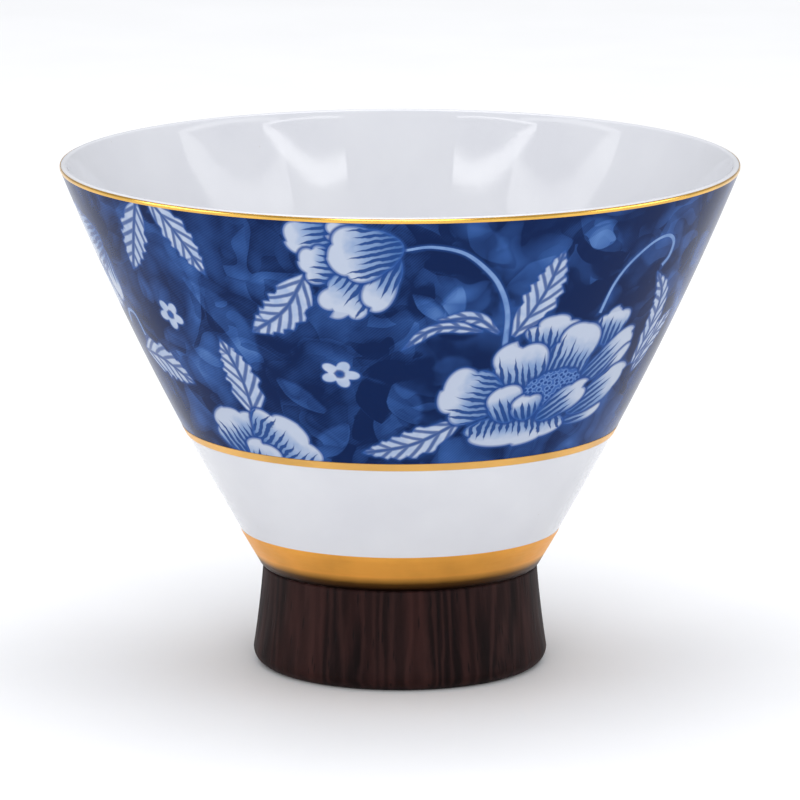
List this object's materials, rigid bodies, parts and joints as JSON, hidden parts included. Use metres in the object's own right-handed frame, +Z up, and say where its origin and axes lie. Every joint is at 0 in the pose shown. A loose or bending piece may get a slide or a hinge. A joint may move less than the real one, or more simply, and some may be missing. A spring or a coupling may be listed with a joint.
{
  "type": "footed tea cup",
  "caption": "Flared porcelain tea cup with a blue floral band and gilded lines, bonded into a low turned dark-wood foot.",
  "frame": {"origin": "centre of the underside that the cup stands on", "axes": "+Z up along the axis of revolution; +X to the right and -Y towards a viewer of the front"},
  "size_m": [0.0902, 0.0902, 0.0678],
  "materials": {
    "porcelain": "clear gloss glaze on white porcelain",
    "blue_print": "cobalt blue floral print under a soft gloss glaze",
    "gilding": "fired gilding, satin to bright",
    "adhesive": "cured amber adhesive",
    "dark_wood": "turned dark hardwood, oiled, upright grain"
  },
  "bodies": {
    "root": {"porcelain_cup": "porcelain", "floral_transfer": "blue_print", "gilt_lip_line": "gilding", "gilt_waist_line": "gilding", "gilt_foot_band": "gilding", "glue_bed": "adhesive", "wooden_foot": "dark_wood"}
  },
  "joints": []
}
